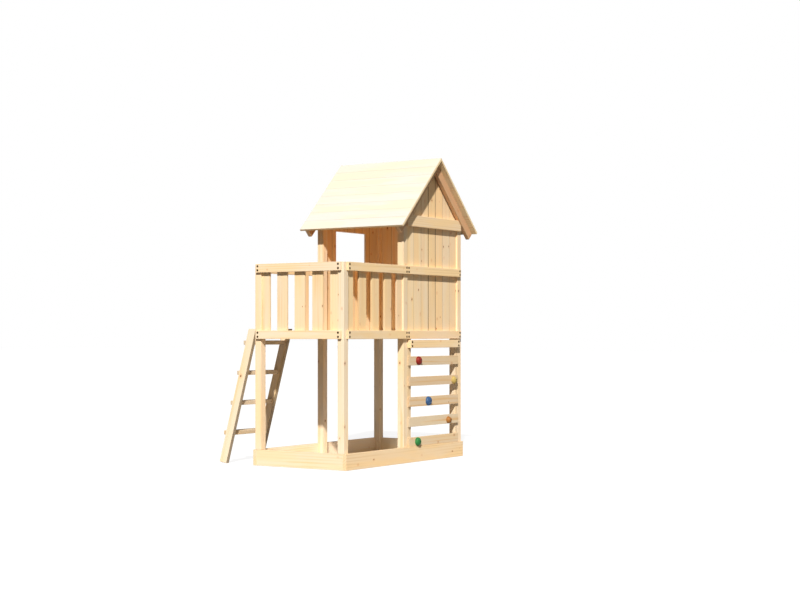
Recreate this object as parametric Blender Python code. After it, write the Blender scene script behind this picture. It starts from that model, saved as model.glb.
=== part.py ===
"""Stilt playhouse: a roofed play tower of planed timber.

Six posts stand in a board frame that holds sand. They carry a platform with a railed balcony in front and a
small house with a saddle roof behind. A ladder leans on the left side, and the right side has a climbing
wall with five grips. Units are metres: X runs to the right, Y runs away from the front and Z is up.
All positions are counted from the front left corner of the base frame, on the ground.
"""

import math

import bmesh
import bpy
from mathutils import Matrix, Vector

# Clearance between two pieces that touch; every piece gives up half of it on each of its faces.
GAP = 0.0003
EASE = GAP / 2
GROUND = -EASE

# Base frame, a box of boards for sand.
BASE_WIDTH = 1.070
BASE_LENGTH = 2.040
BASE_HEIGHT = 0.150
BASE_BOARD = 0.040

# Posts.
POST = 0.070
POST_INSET = 0.025
HOUSE_FRONT = 0.981
LEFT_X = (POST_INSET, POST_INSET + POST)
RIGHT_X = (BASE_WIDTH - POST_INSET - POST, BASE_WIDTH - POST_INSET)
FRONT_Y = (0.0, POST)
MIDDLE_Y = (HOUSE_FRONT, HOUSE_FRONT + POST)
BACK_Y = (BASE_LENGTH - POST, BASE_LENGTH)

# Rails: 40 mm thick, 25 mm of it proud of the posts and 15 mm let in between them.
RAIL_THICK = 0.040
RAIL_LAP = RAIL_THICK - POST_INSET
RAIL_X = (0.047, 1.023)
BALCONY_RAIL_Y = (0.040, 1.018)
HOUSE_RAIL_Y = (1.018, 2.003)
PLATFORM_RAIL_Z = (1.187, 1.266)
HAND_RAIL_Z = (1.807, 1.887)
TIE_BEAM_Z = (2.268, 2.376)

# Thin boards: slats, wall boards and the platform's floor.
SLAT_THICK = 0.018
SLAT_Z = (1.192, 1.882)
FLOOR_Z = (1.246, 1.266)
BEARER_Z = (1.186, 1.256)
BEARER_WIDTH = 0.040
FLOOR_BOARD_COUNT = 15
BACK_WALL_TOP = 2.405
WALL_BOARD_COUNT = 7
SEAM_WIDTH = 0.004
SEAM_DEPTH = 0.003
PANEL_OVERLAP = 0.009

# Widths of the slats from the front left corner on, with equal gaps between them.
FRONT_SLAT_WIDTHS = (0.093, 0.118, 0.118, 0.118, 0.093)
SIDE_SLAT_WIDTHS = (0.100, 0.118, 0.118, 0.118, 0.095)
LEFT_SLATS_KEPT = 2

# Window in the left wall, between the middle rail and the tie beam.
WINDOW_HALF_WIDTH = 0.260

# Saddle roof, pitched at 45 degrees.
PITCH = math.radians(45.0)
RIDGE_Z = 2.958
RIDGE_Y = (HOUSE_FRONT + BASE_LENGTH) / 2
ROOF_X = (-0.071, 1.141)
SLOPE_LENGTH = 0.983
ROOF_BOARD = 0.020
ROOF_BOARD_COUNT = 8
RAFTER_THICK = 0.040
RAFTER_DEPTH = 0.080

# Ladder: its inner edge meets the outer face of the platform rail at the rail's top.
LADDER_LEAN = math.radians(74.3)
STRINGER_WIDTH = 0.085
STRINGER_THICK = 0.040
STRINGER_TOP = 1.283
STRINGER_FOOT_RISE = 0.015
NEAR_STRINGER_Y = 0.035
FAR_STRINGER_Y = 0.560
TREAD_TOPS = (0.310, 0.597, 0.884, 1.171)
TREAD_THICK = 0.040
TREAD_DEPTH = 0.120
TREAD_NOSE = 0.056

# Climbing wall under the right side of the house.
BATTEN = 0.060
BACK_BATTEN = 0.042
BACK_BATTEN_DEPTH = 0.070
CLIMB_END_INSET = 0.018
CLIMB_RAIL_Z = (1.099, 1.175)
CLIMB_RAIL_THICK = 0.040
CLIMB_BOARD_THICK = 0.020
CLIMB_BOARD_Z = ((0.930, 1.018), (0.733, 0.821), (0.534, 0.626), (0.341, 0.433), (0.150, 0.239))

# Grips: position along the wall, height, half width, half height and turn in degrees.
GRIPS = {
    "red": (1.207, 0.976, 0.040, 0.044, 12.0),
    "yellow": (1.862, 0.773, 0.040, 0.041, -15.0),
    "blue": (1.383, 0.580, 0.044, 0.047, 20.0),
    "orange": (1.757, 0.379, 0.037, 0.036, -10.0),
    "green": (1.190, 0.196, 0.040, 0.043, 8.0),
}
GRIP_DEPTH = 0.040
GRIP_RADIUS_X = 0.032

# Recesses for the rails' screw heads and for the grips' bolt heads.
SCREW_RECESS_RADIUS = 0.0070
SCREW_RECESS_DEPTH = 0.0058
SCREW_SPREAD = 0.0190
FRONT_SCREW_X = (0.072, 0.998)
BALCONY_SCREW_Y = (0.060, 1.003)
HOUSE_SCREW_Y = (1.033, 1.981)
CLIMB_SCREW_Y = (1.076, 1.932)
BOLT_SEAT_RADIUS = 0.0110
BOLT_SEAT = 0.028
ROUND_SIDES = 12

# Planes that several pieces share.
LEFT_FACE, RIGHT_FACE = LEFT_X[0], RIGHT_X[1]
FRONT_FACE, BACK_FACE = FRONT_Y[0], BACK_Y[1]
LEFT_SLAT_X = (LEFT_FACE + RAIL_LAP, LEFT_FACE + RAIL_LAP + SLAT_THICK)
RIGHT_SLAT_X = (RIGHT_FACE - RAIL_LAP - SLAT_THICK, RIGHT_FACE - RAIL_LAP)
FRONT_SLAT_Y = (FRONT_FACE + RAIL_LAP, FRONT_FACE + RAIL_LAP + SLAT_THICK)
BACK_WALL_Y = (BACK_FACE - RAIL_LAP - SLAT_THICK, BACK_FACE - RAIL_LAP)
BETWEEN_X = (LEFT_X[1], RIGHT_X[0])
BALCONY_Y = (FRONT_Y[1], MIDDLE_Y[0])
HOUSE_Y = (MIDDLE_Y[1], BACK_Y[0])

# Finishes: colour in linear light, roughness and metallic value.
FINISHES = {
    "pine_frame": ((0.88, 0.72, 0.42, 1.0), 0.60, 0.0),
    "pine_boards": ((0.84, 0.66, 0.36, 1.0), 0.60, 0.0),
    "pine_roof": ((0.90, 0.78, 0.48, 1.0), 0.60, 0.0),
    "plastic_red": ((0.45, 0.03, 0.02, 1.0), 0.40, 0.0),
    "plastic_yellow": ((0.85, 0.60, 0.12, 1.0), 0.40, 0.0),
    "plastic_blue": ((0.05, 0.16, 0.42, 1.0), 0.40, 0.0),
    "plastic_orange": ((0.70, 0.17, 0.02, 1.0), 0.40, 0.0),
    "plastic_green": ((0.03, 0.32, 0.08, 1.0), 0.40, 0.0),
}

# A 2D curve lies in its own XY plane; these turn that plane into the one named.
PLANE_TURNS = {"XY": (0.0, 0.0, 0.0), "YZ": (math.pi / 2, 0.0, math.pi / 2), "XZ": (math.pi / 2, 0.0, 0.0)}
PLANE_NORMALS = {"XY": Vector((0, 0, 1)), "YZ": Vector((1, 0, 0)), "XZ": Vector((0, 1, 0))}


def clear_scene():
    """Remove what the scene already holds."""
    for obj in list(bpy.data.objects):
        bpy.data.objects.remove(obj, do_unlink=True)


def new_collection(name):
    """A collection in the scene for one kind of object."""
    collection = bpy.data.collections.new(name)
    bpy.context.scene.collection.children.link(collection)
    return collection


def move_to(obj, collection):
    """Keep an object in this collection only."""
    for old in list(obj.users_collection):
        old.objects.unlink(obj)
    collection.objects.link(obj)


def give_material(obj, finish):
    """Give a piece its own Principled material in the named finish."""
    colour, roughness, metallic = FINISHES[finish]
    material = bpy.data.materials.new(obj.name + "_" + finish)
    material.use_nodes = True
    material.diffuse_color = colour
    shader = material.node_tree.nodes["Principled BSDF"]
    shader.inputs["Base Color"].default_value = colour
    shader.inputs["Roughness"].default_value = roughness
    shader.inputs["Metallic"].default_value = metallic
    obj.data.materials.clear()
    obj.data.materials.append(material)


def finish_piece(obj, name, finish):
    """Name a piece, give it its material and set it under the corner empty."""
    obj.name = name
    obj.data.name = name
    move_to(obj, PIECES)
    obj.parent = CORNER
    give_material(obj, finish)
    return obj


def finish_cutter(obj, name):
    """Keep a cutter out of sight, in its own collection."""
    obj.name = name
    obj.hide_render = True
    obj.display_type = "WIRE"
    move_to(obj, CUTTERS)
    obj.parent = CORNER
    return obj


def box(spans, grow):
    """A cube primitive between three pairs of planes, each face moved outwards by grow."""
    centre = [(low + high) / 2 for low, high in spans]
    size = [high - low + 2 * grow for low, high in spans]
    bpy.ops.mesh.primitive_cube_add(size=1.0, location=centre, scale=size)
    bpy.ops.object.transform_apply(location=False, rotation=False, scale=True)
    return bpy.context.object


def add_box(name, finish, x, y, z):
    """A board or a beam between the planes x, y and z."""
    return finish_piece(box((x, y, z), -EASE), name, finish)


def add_cutter_box(name, x, y, z):
    """The space of a neighbour, half a gap larger all round."""
    return finish_cutter(box((x, y, z), EASE), name)


def eased(loop):
    """The outline moved inwards by half a gap."""
    corners = [Vector(corner) for corner in loop]
    ring = list(zip(corners, corners[1:] + corners[:1]))
    if sum(a.x * b.y - b.x * a.y for a, b in ring) < 0:
        corners.reverse()
    result = []
    for index, corner in enumerate(corners):
        along_in = (corner - corners[index - 1]).normalized()
        along_out = (corners[(index + 1) % len(corners)] - corner).normalized()
        inwards = Vector((-along_in.y - along_out.y, along_in.x + along_out.x))
        result.append(corner + inwards * (2 * EASE / inwards.length_squared))
    return result


def rectangle(across, up):
    """The four corners between two spans."""
    return [(across[0], up[0]), (across[1], up[0]), (across[1], up[1]), (across[0], up[1])]


def add_outline(name, finish, plane, outline, across):
    """A flat outline in a plane, extruded over the span that crosses it."""
    curve = bpy.data.curves.new(name, "CURVE")
    curve.dimensions = "2D"
    curve.fill_mode = "BOTH"
    curve.extrude = (across[1] - across[0]) / 2 - EASE
    loop = eased(outline)
    spline = curve.splines.new("POLY")
    spline.points.add(len(loop) - 1)
    for point, corner in zip(spline.points, loop):
        point.co = (corner.x, corner.y, 0.0, 1.0)
    spline.use_cyclic_u = True
    obj = bpy.data.objects.new(name, curve)
    bpy.context.scene.collection.objects.link(obj)
    obj.rotation_euler = PLANE_TURNS[plane]
    obj.location = PLANE_NORMALS[plane] * ((across[0] + across[1]) / 2)
    return finish_piece(obj, name, finish)


def as_mesh(obj, finish):
    """The same piece as a welded mesh, so that it can be cut."""
    bpy.context.view_layer.update()
    evaluated = obj.evaluated_get(bpy.context.evaluated_depsgraph_get())
    mesh = bpy.data.meshes.new_from_object(evaluated)
    work = bmesh.new()
    work.from_mesh(mesh)
    bmesh.ops.remove_doubles(work, verts=work.verts, dist=0.00001)
    work.to_mesh(mesh)
    work.free()
    name, location, turn = obj.name, obj.location.copy(), obj.rotation_euler.copy()
    bpy.data.objects.remove(obj, do_unlink=True)
    solid = bpy.data.objects.new(name, mesh)
    bpy.context.scene.collection.objects.link(solid)
    solid.location = location
    solid.rotation_euler = turn
    return finish_piece(solid, name, finish)


def combine(obj, operation, others):
    """Cut the others out of a piece, or join them to it."""
    for other in others:
        modifier = obj.modifiers.new(other.name, "BOOLEAN")
        modifier.operation = operation
        modifier.solver = "EXACT"
        modifier.object = other
    return obj


def cut(obj, *cutters):
    """Take the cutters' space out of a piece."""
    return combine(obj, "DIFFERENCE", cutters)


def join(obj, *helpers):
    """Make a piece one body with its helpers."""
    return combine(obj, "UNION", helpers)


def cylinders(name, spots, radius, near, far):
    """Cylinders on the given spots, from near to far in front of each spot's plane."""
    work = bmesh.new()
    for place, facing in spots:
        facing = Vector(facing)
        centre = Vector(place) + facing * ((near + far) / 2)
        turn = facing.to_track_quat("Z", "Y").to_matrix().to_4x4()
        bmesh.ops.create_cone(work, cap_ends=True, segments=ROUND_SIDES, radius1=radius, radius2=radius,
                              depth=far - near, matrix=Matrix.Translation(centre) @ turn)
    mesh = bpy.data.meshes.new(name)
    work.to_mesh(mesh)
    work.free()
    obj = bpy.data.objects.new(name, mesh)
    bpy.context.scene.collection.objects.link(obj)
    return obj


def screw_pair(point, facing):
    """Two screw spots, one above the other, about a point on a rail's face."""
    x, y, z = point
    return [((x, y, z + rise), facing) for rise in (-SCREW_SPREAD, SCREW_SPREAD)]


def middle(span):
    """Halfway between two planes."""
    return (span[0] + span[1]) / 2


def cross_rail_screws(face_y, facing, heights):
    """Screws of the rails that run along X, on the face at face_y."""
    spots = []
    for z in heights:
        for x in FRONT_SCREW_X:
            spots += screw_pair((x, face_y, z), facing)
    return spots


def side_rail_screws(face_x, facing):
    """Screws of the platform rails, hand rail and middle rail on one side."""
    spots = []
    for z in (middle(PLATFORM_RAIL_Z), middle(HAND_RAIL_Z)):
        for y in BALCONY_SCREW_Y + HOUSE_SCREW_Y:
            spots += screw_pair((face_x, y, z), facing)
    return spots


def screw_spots():
    """Every screw spot, by the side it is on."""
    low, high = middle(PLATFORM_RAIL_Z), middle(HAND_RAIL_Z)
    climb = []
    for y in CLIMB_SCREW_Y:
        climb += screw_pair((RIGHT_FACE + CLIMB_RAIL_THICK, y, middle(CLIMB_RAIL_Z)), (1, 0, 0))
    return {
        "front": cross_rail_screws(FRONT_FACE - POST_INSET, (0, -1, 0), (low, high)),
        "back": cross_rail_screws(BACK_FACE + POST_INSET, (0, 1, 0), (low, high)),
        "left": side_rail_screws(LEFT_FACE - POST_INSET, (-1, 0, 0)),
        "right": side_rail_screws(RIGHT_FACE + POST_INSET, (1, 0, 0)),
        "climb": climb,
    }


def roof_underside(y):
    """Height of the roof boards' lower face above a point along Y."""
    return RIDGE_Z - ROOF_BOARD / math.cos(PITCH) - abs(y - RIDGE_Y) * math.tan(PITCH)


def roof_point(along, depth, side):
    """Point on a slope: a distance down from the ridge and a depth below the outer face."""
    out = math.cos(PITCH) * along - math.sin(PITCH) * depth
    down = math.sin(PITCH) * along + math.cos(PITCH) * depth
    return RIDGE_Y + side * out, RIDGE_Z - down


def ridge_point(depth):
    """Point on the ridge's upright joint at a depth below the outer faces."""
    return RIDGE_Y, RIDGE_Z - depth / math.cos(PITCH)


def slope_strip(start, stop, outer, inner, side):
    """Outline of a strip of a slope; a strip that starts at the ridge is mitred there."""
    top = [roof_point(start, outer, side), roof_point(start, inner, side)]
    if start == 0:
        top = [ridge_point(outer), ridge_point(inner)]
    return [top[0], roof_point(stop, outer, side), roof_point(stop, inner, side), top[1]]


def make_cutters():
    """Guides that clear the posts, the base boards, the roof and the screw heads."""
    reach = 0.1
    guides = {}
    posts = {"left_front": (LEFT_X, FRONT_Y), "right_front": (RIGHT_X, FRONT_Y), "left_middle": (LEFT_X, MIDDLE_Y),
             "right_middle": (RIGHT_X, MIDDLE_Y), "left_back": (LEFT_X, BACK_Y), "right_back": (RIGHT_X, BACK_Y)}
    for name, (x, y) in posts.items():
        guides[name] = add_cutter_box("cutter_post_" + name, x, y, (-reach, RIDGE_Z))
    width, length, low = (-reach, BASE_WIDTH + reach), (-reach, BASE_LENGTH + reach), (-reach, BASE_HEIGHT)
    guides["base_left"] = add_cutter_box("cutter_base_left", (-reach, BASE_BOARD), length, low)
    guides["base_right"] = add_cutter_box("cutter_base_right", (BASE_WIDTH - BASE_BOARD, width[1]), length, low)
    guides["base_front"] = add_cutter_box("cutter_base_front", width, (-reach, BASE_BOARD), low)
    guides["base_back"] = add_cutter_box("cutter_base_back", width, (BASE_LENGTH - BASE_BOARD, length[1]), low)
    for name, side in (("roof_front", -1), ("roof_back", 1)):
        guides[name] = make_roof_cutter("cutter_" + name, side)
    for name, spots in screw_spots().items():
        holes = cylinders("cutter_screws_" + name, spots, SCREW_RECESS_RADIUS, -SCREW_RECESS_DEPTH, 0.01)
        guides["screws_" + name] = finish_cutter(holes, holes.name)
    return guides


def make_roof_cutter(name, side):
    """A block whose lower face is the roof boards' underside on one slope."""
    size = 3.0
    normal = Vector((0.0, side * math.sin(PITCH), math.cos(PITCH)))
    centre = Vector((middle(ROOF_X), *ridge_point(ROOF_BOARD))) + normal * (size / 2 - EASE)
    bpy.ops.mesh.primitive_cube_add(size=size, location=centre, rotation=(-side * PITCH, 0.0, 0.0))
    return finish_cutter(bpy.context.object, name)


def make_base():
    """The sand frame: two long side boards with the end boards between them."""
    inner_x = (BASE_BOARD, BASE_WIDTH - BASE_BOARD)
    height = (GROUND, BASE_HEIGHT)
    add_box("base_board_left", "pine_frame", (0.0, BASE_BOARD), (0.0, BASE_LENGTH), height)
    add_box("base_board_right", "pine_frame", (inner_x[1], BASE_WIDTH), (0.0, BASE_LENGTH), height)
    add_box("base_board_front", "pine_frame", inner_x, (0.0, BASE_BOARD), height)
    add_box("base_board_back", "pine_frame", inner_x, (BASE_LENGTH - BASE_BOARD, BASE_LENGTH), height)


def make_posts(guides):
    """Two low front posts and four house posts, each notched at its foot over the base boards."""
    low_top = (GROUND, HAND_RAIL_Z[1])
    high_top = (GROUND, RIDGE_Z)
    front = guides["base_front"]
    back = guides["base_back"]
    for side, x in (("left", LEFT_X), ("right", RIGHT_X)):
        base_side = guides["base_" + side]
        cut(add_box("post_front_" + side, "pine_frame", x, FRONT_Y, low_top), base_side, front)
        cut(add_box("post_middle_" + side, "pine_frame", x, MIDDLE_Y, high_top), base_side, guides["roof_front"])
        cut(add_box("post_back_" + side, "pine_frame", x, BACK_Y, high_top), base_side, back, guides["roof_back"])


def make_cross_rail(name, face, outwards, z, cutters):
    """A rail along X, let in behind the posts' faces; outwards is -1 on a front and 1 on the back."""
    y = tuple(sorted((face + outwards * POST_INSET, face - outwards * RAIL_LAP)))
    return cut(add_box(name, "pine_frame", RAIL_X, y, z), *cutters)


def make_side_rail(name, side, y, z, cutters):
    """A rail along Y on the left or the right side."""
    face, outwards = (LEFT_FACE, -1) if side == "left" else (RIGHT_FACE, 1)
    x = tuple(sorted((face + outwards * POST_INSET, face - outwards * RAIL_LAP)))
    return cut(add_box(name, "pine_frame", x, y, z), *cutters)


def make_rails(guides):
    """Platform rails, hand rails and middle rails on the front, the left and the right."""
    front = (guides["left_front"], guides["right_front"], guides["screws_front"])
    make_cross_rail("platform_rail_front", FRONT_FACE, -1, PLATFORM_RAIL_Z, front)
    make_cross_rail("hand_rail_front", FRONT_FACE, -1, HAND_RAIL_Z, front)
    balcony = (guides["right_front"], guides["right_middle"], guides["screws_right"])
    house = (guides["right_middle"], guides["right_back"], guides["screws_right"])
    make_side_rail("platform_rail_balcony_right", "right", BALCONY_RAIL_Y, PLATFORM_RAIL_Z, balcony)
    make_side_rail("platform_rail_house_right", "right", HOUSE_RAIL_Y, PLATFORM_RAIL_Z, house)
    make_side_rail("hand_rail_right", "right", BALCONY_RAIL_Y, HAND_RAIL_Z, balcony)
    make_side_rail("middle_rail_right", "right", HOUSE_RAIL_Y, HAND_RAIL_Z, house)
    whole = (BALCONY_RAIL_Y[0], HOUSE_RAIL_Y[1])
    left = (guides["left_front"], guides["left_middle"], guides["left_back"], guides["screws_left"])
    make_side_rail("platform_rail_left", "left", whole, PLATFORM_RAIL_Z, left)
    make_side_rail("hand_rail_left", "left", whole, HAND_RAIL_Z, left)


def tie_beam_outline():
    """Side outline of a gable's tie beam, its upper corners clipped along the rafters' lower edges."""
    rafter_drop = (ROOF_BOARD + RAFTER_DEPTH) / math.cos(PITCH)
    low, high = TIE_BEAM_Z
    reach = (RIDGE_Z - rafter_drop - high) / math.tan(PITCH)
    shoulder = RIDGE_Z - rafter_drop - (RIDGE_Y - HOUSE_RAIL_Y[0]) * math.tan(PITCH)
    return [(HOUSE_RAIL_Y[0], low), (HOUSE_RAIL_Y[1], low), (HOUSE_RAIL_Y[1], shoulder),
            (RIDGE_Y + reach, high), (RIDGE_Y - reach, high), (HOUSE_RAIL_Y[0], shoulder)]


def make_tie_beam(guides, side, x):
    """The beam across one gable, rebated over the posts."""
    name = "tie_beam_" + side
    beam = as_mesh(add_outline(name, "pine_frame", "YZ", tie_beam_outline(), x), "pine_frame")
    return cut(beam, guides[side + "_middle"], guides[side + "_back"])


def split(span, count):
    """A span cut into equal boards."""
    step = (span[1] - span[0]) / count
    return [(span[0] + step * index, span[0] + step * (index + 1)) for index in range(count)]


def spread(span, widths):
    """Slats of the given widths over a span, with equal gaps between them."""
    gap = (span[1] - span[0] - sum(widths)) / (len(widths) - 1)
    slats = []
    start = span[0]
    for width in widths:
        slats.append((start, start + width))
        start += width + gap
    return slats


def seamed(across, thick, count, seamed_sides):
    """Outline of boards side by side, with a narrow groove at each seam on the sides asked for."""
    low, high = thick
    outline = [(across[0], low)]
    seams = [board[1] for board in split(across, count)[:-1]]
    if "low" in seamed_sides:
        for seam in seams:
            outline += [(seam - SEAM_WIDTH / 2, low), (seam, low + SEAM_DEPTH), (seam + SEAM_WIDTH / 2, low)]
    outline += [(across[1], low), (across[1], high)]
    if "high" in seamed_sides:
        for seam in reversed(seams):
            outline += [(seam + SEAM_WIDTH / 2, high), (seam, high - SEAM_DEPTH), (seam - SEAM_WIDTH / 2, high)]
    return outline + [(across[0], high)]


def make_floor(guides):
    """Floor boards fixed across two bearers, notched round the posts."""
    y = (FRONT_SLAT_Y[1], BACK_WALL_Y[0])
    boards = seamed(y, FLOOR_Z, FLOOR_BOARD_COUNT, ("high",))
    floor = add_outline("platform_floor", "pine_boards", "YZ", boards, (LEFT_SLAT_X[1], RIGHT_SLAT_X[0]))
    floor = as_mesh(floor, "pine_boards")
    cut(floor, *[guides[side + row] for side in ("left", "right") for row in ("_front", "_middle", "_back")])
    left = finish_cutter(box(((LEFT_X[1], LEFT_X[1] + BEARER_WIDTH), y, BEARER_Z), -EASE), "helper_bearer_left")
    right = finish_cutter(box(((RIGHT_X[0] - BEARER_WIDTH, RIGHT_X[0]), y, BEARER_Z), -EASE), "helper_bearer_right")
    join(floor, left, right)


def make_slats():
    """Balustrade slats; on the left only the ones beside the house, because the ladder arrives there."""
    side_slats = list(enumerate(spread(BALCONY_Y, SIDE_SLAT_WIDTHS), 1))
    for number, x in enumerate(spread(BETWEEN_X, FRONT_SLAT_WIDTHS), 1):
        add_box("slat_front_%d" % number, "pine_boards", x, FRONT_SLAT_Y, SLAT_Z)
    for number, y in side_slats:
        add_box("slat_right_%d" % number, "pine_boards", RIGHT_SLAT_X, y, SLAT_Z)
    for number, y in side_slats[-LEFT_SLATS_KEPT:]:
        add_box("slat_left_%d" % number, "pine_boards", LEFT_SLAT_X, y, SLAT_Z)


def make_side_wall(name, x, guides):
    """Upright boards between the house posts, seen from above as one outline and cut off under the roof."""
    boards = [(across, y) for y, across in seamed(HOUSE_Y, x, WALL_BOARD_COUNT, ("low", "high"))]
    wall = as_mesh(add_outline(name, "pine_boards", "XY", boards, (SLAT_Z[0], RIDGE_Z)), "pine_boards")
    return cut(wall, guides["roof_front"], guides["roof_back"])


def make_walls(guides):
    """The house's right, left and back walls; the left one has a window and is one panel with its tie beam."""
    make_side_wall("wall_right", RIGHT_SLAT_X, guides)
    left = make_side_wall("wall_left", LEFT_SLAT_X, guides)
    window_y = (RIDGE_Y - WINDOW_HALF_WIDTH, RIDGE_Y + WINDOW_HALF_WIDTH)
    cut(left, add_cutter_box("cutter_window", (-0.1, 0.2), window_y, (HAND_RAIL_Z[1], TIE_BEAM_Z[0])))
    beam = make_tie_beam(guides, "left", (0.0, RAIL_THICK + PANEL_OVERLAP))
    finish_cutter(beam, "helper_tie_beam_left")
    join(left, beam)
    boards = seamed(BETWEEN_X, BACK_WALL_Y, WALL_BOARD_COUNT, ("low", "high"))
    back = as_mesh(add_outline("wall_back", "pine_boards", "XY", boards, (SLAT_Z[0], BACK_WALL_TOP)), "pine_boards")
    for name, z in (("platform", PLATFORM_RAIL_Z), ("middle", HAND_RAIL_Z)):
        y = (BACK_FACE - RAIL_LAP - PANEL_OVERLAP, BACK_FACE + POST_INSET)
        rail = finish_cutter(box((RAIL_X, y, z), -EASE), "helper_rail_back_" + name)
        cut(rail, guides["left_back"], guides["right_back"], guides["screws_back"])
        join(back, rail)


def make_roof():
    """Rafters on the posts' outer faces, and boards along each slope as one panel with seams."""
    rafters_x = {"left": (LEFT_FACE - RAFTER_THICK, LEFT_FACE), "right": (RIGHT_FACE, RIGHT_FACE + RAFTER_THICK)}
    for slope, side in (("front", -1), ("back", 1)):
        rafter = slope_strip(0, SLOPE_LENGTH, ROOF_BOARD, ROOF_BOARD + RAFTER_DEPTH, side)
        for name, x in rafters_x.items():
            add_outline("rafter_" + name + "_" + slope, "pine_frame", "YZ", rafter, x)
        boards = roof_outline(side)
        add_outline("roof_boards_" + slope, "pine_roof", "YZ", boards, ROOF_X)


def roof_outline(side):
    """Side outline of a slope's boards, with a groove at each seam on the outer face."""
    outline = [ridge_point(0.0)]
    for board in split((0, SLOPE_LENGTH), ROOF_BOARD_COUNT)[:-1]:
        seam = board[1]
        outline += [roof_point(seam - SEAM_WIDTH / 2, 0.0, side), roof_point(seam, SEAM_DEPTH, side),
                    roof_point(seam + SEAM_WIDTH / 2, 0.0, side)]
    return outline + [roof_point(SLOPE_LENGTH, 0.0, side), roof_point(SLOPE_LENGTH, ROOF_BOARD, side),
                      ridge_point(ROOF_BOARD)]


def ladder_inner_x(z):
    """The ladder's edge on the tower's side, at a height."""
    return (z - PLATFORM_RAIL_Z[1]) / math.tan(LADDER_LEAN)


def ladder_outer_x(z):
    """The ladder's edge on the climber's side, at a height."""
    return ladder_inner_x(z) - STRINGER_WIDTH / math.sin(LADDER_LEAN)


def make_ladder():
    """Two leaning stringers with four flat treads between them, their noses standing out in front."""
    rise = STRINGER_FOOT_RISE
    loop = [(ladder_inner_x(0.0), 0.0), (ladder_inner_x(STRINGER_TOP), STRINGER_TOP),
            (ladder_outer_x(STRINGER_TOP), STRINGER_TOP), (ladder_outer_x(rise), rise)]
    near = (NEAR_STRINGER_Y, NEAR_STRINGER_Y + STRINGER_THICK)
    far = (FAR_STRINGER_Y, FAR_STRINGER_Y + STRINGER_THICK)
    add_outline("ladder_stringer_near", "pine_frame", "XZ", loop, near)
    add_outline("ladder_stringer_far", "pine_frame", "XZ", loop, far)
    for number, top in enumerate(TREAD_TOPS, 1):
        nose = ladder_outer_x(top - TREAD_THICK / 2) - TREAD_NOSE
        add_box("ladder_tread_%d" % number, "pine_frame", (nose, nose + TREAD_DEPTH), (near[1], far[0]),
                (top - TREAD_THICK, top))


def make_climbing_wall(guides):
    """Two battens between the base and the platform rail, a top rail and five boards."""
    sizes = (("front", BATTEN, (HOUSE_Y[0], HOUSE_Y[0] + BATTEN)),
             ("back", BACK_BATTEN_DEPTH, (HOUSE_Y[1] - BACK_BATTEN, HOUSE_Y[1])))
    for name, depth, y in sizes:
        batten = add_box("climbing_batten_" + name, "pine_frame", (RIGHT_FACE - depth, RIGHT_FACE), y,
                         (GROUND, PLATFORM_RAIL_Z[0]))
        cut(batten, guides["base_right"])
    length = (HOUSE_Y[0], HOUSE_Y[1] - CLIMB_END_INSET)
    rail = add_box("climbing_top_rail", "pine_frame", (RIGHT_FACE, RIGHT_FACE + CLIMB_RAIL_THICK), length,
                   CLIMB_RAIL_Z)
    cut(rail, guides["screws_climb"])
    for number, z in enumerate(CLIMB_BOARD_Z, 1):
        x = (RIGHT_FACE, RIGHT_FACE + CLIMB_BOARD_THICK)
        add_box("climbing_board_%d" % number, "pine_boards", x, length, z)


def make_grips():
    """Rounded plastic grips with flat backs, each with a seat in its front for a bolt head."""
    face = RIGHT_FACE + CLIMB_BOARD_THICK
    spots = [((face, y, z), (1, 0, 0)) for y, z, *_ in GRIPS.values()]
    wall = add_cutter_box("cutter_grip_backs", (face - 0.1, face), HOUSE_Y, (0.0, PLATFORM_RAIL_Z[0]))
    seats = finish_cutter(cylinders("cutter_grip_seats", spots, BOLT_SEAT_RADIUS, BOLT_SEAT, 0.1), "cutter_grip_seats")
    for colour, (y, z, half_width, half_height, turn) in GRIPS.items():
        centre = (face + GRIP_DEPTH - GRIP_RADIUS_X, y, z)
        bpy.ops.mesh.primitive_uv_sphere_add(segments=20, ring_count=10, radius=1.0, location=centre,
                                             scale=(GRIP_RADIUS_X, half_width, half_height))
        bpy.ops.object.transform_apply(location=False, rotation=False, scale=True)
        grip = finish_piece(bpy.context.object, "climbing_grip_" + colour, "plastic_" + colour)
        grip.rotation_euler.x = math.radians(turn)
        grip.data.shade_smooth()
        cut(grip, wall, seats)


def place_corner():
    """Put the base frame's front left corner so that the origin is under the middle of the whole object."""
    left = ladder_outer_x(STRINGER_FOOT_RISE)
    front = FRONT_FACE - POST_INSET
    back = roof_point(SLOPE_LENGTH, 0.0, 1)[0]
    CORNER.location = (-(left + ROOF_X[1]) / 2, -(front + back) / 2, 0.0)


def main():
    """Build every piece of the playhouse."""
    place_corner()
    guides = make_cutters()
    make_base()
    make_posts(guides)
    make_rails(guides)
    make_tie_beam(guides, "right", (BASE_WIDTH - RAIL_THICK, BASE_WIDTH))
    make_floor(guides)
    make_slats()
    make_walls(guides)
    make_roof()
    make_ladder()
    make_climbing_wall(guides)
    make_grips()
    bpy.context.view_layer.update()


clear_scene()
PIECES = new_collection("stilt_playhouse")
CUTTERS = new_collection("cutters")
CORNER = bpy.data.objects.new("front_left_corner", None)
bpy.context.scene.collection.objects.link(CORNER)
main()
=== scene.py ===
"""Looks of the stilt playhouse: planed pine with rounded edges, grain and knots, screws, grips, light and camera.

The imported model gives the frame. Each timber piece is a softened copy of its solid with its own grain
direction, and stands for it. Units are metres, in the model's own frame.
"""

import logging
import math
from contextlib import contextmanager
from dataclasses import dataclass, field
from enum import Enum
from typing import Dict, Iterator, List, Optional, Sequence, Tuple

import bpy
from mathutils import Euler, Matrix, Vector

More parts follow.
